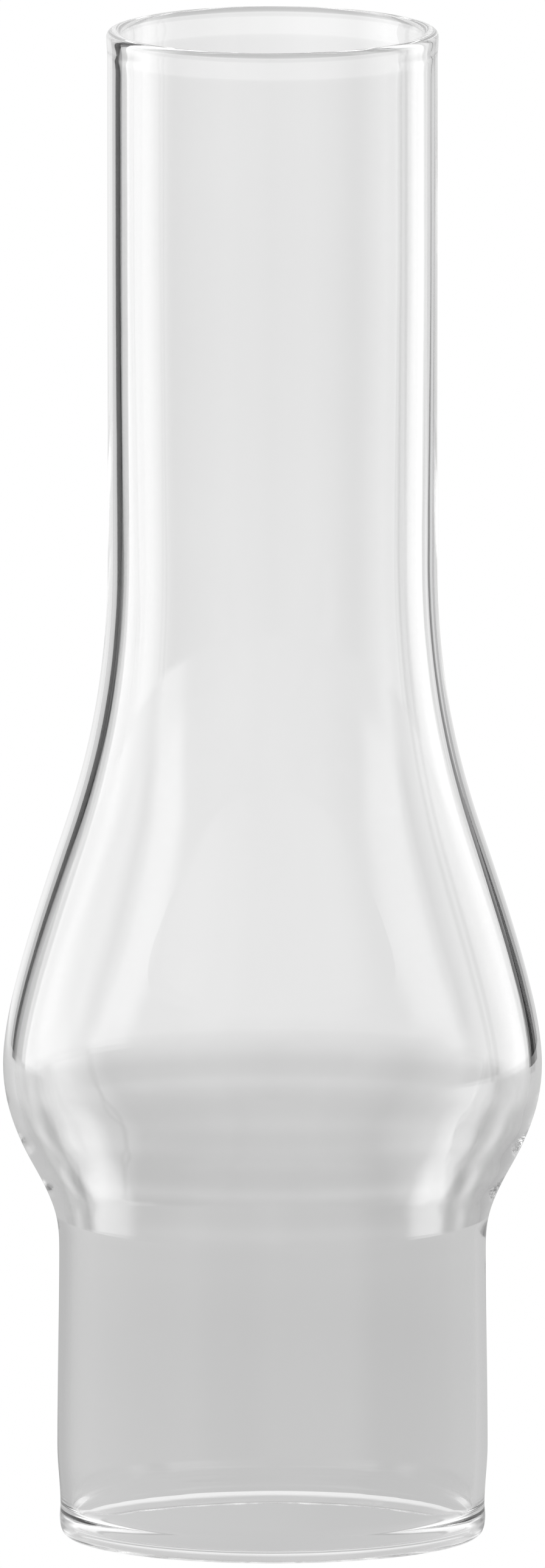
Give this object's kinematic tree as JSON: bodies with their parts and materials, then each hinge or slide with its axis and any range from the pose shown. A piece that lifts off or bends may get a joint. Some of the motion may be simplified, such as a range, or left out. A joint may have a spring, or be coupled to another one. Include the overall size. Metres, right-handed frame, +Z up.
{
  "type": "oil lamp chimney",
  "caption": "Clear blown glass oil lamp chimney: straight skirt, pear shaped bulb around the flame, flared neck and straight flue, open at both ends with fire polished rims.",
  "frame": {"origin": "middle of the foot rim, on the surface that the chimney stands on", "axes": "+Z up along the chimney's axis of revolution, from the foot to the lip; X and Y are free to turn about it"},
  "size_m": [0.0946, 0.0946, 0.2667],
  "materials": {
    "clear_glass": "clear blown glass, fire polished, faintly wavy"
  },
  "bodies": {
    "root": {"glass_chimney": "clear_glass"}
  },
  "joints": []
}
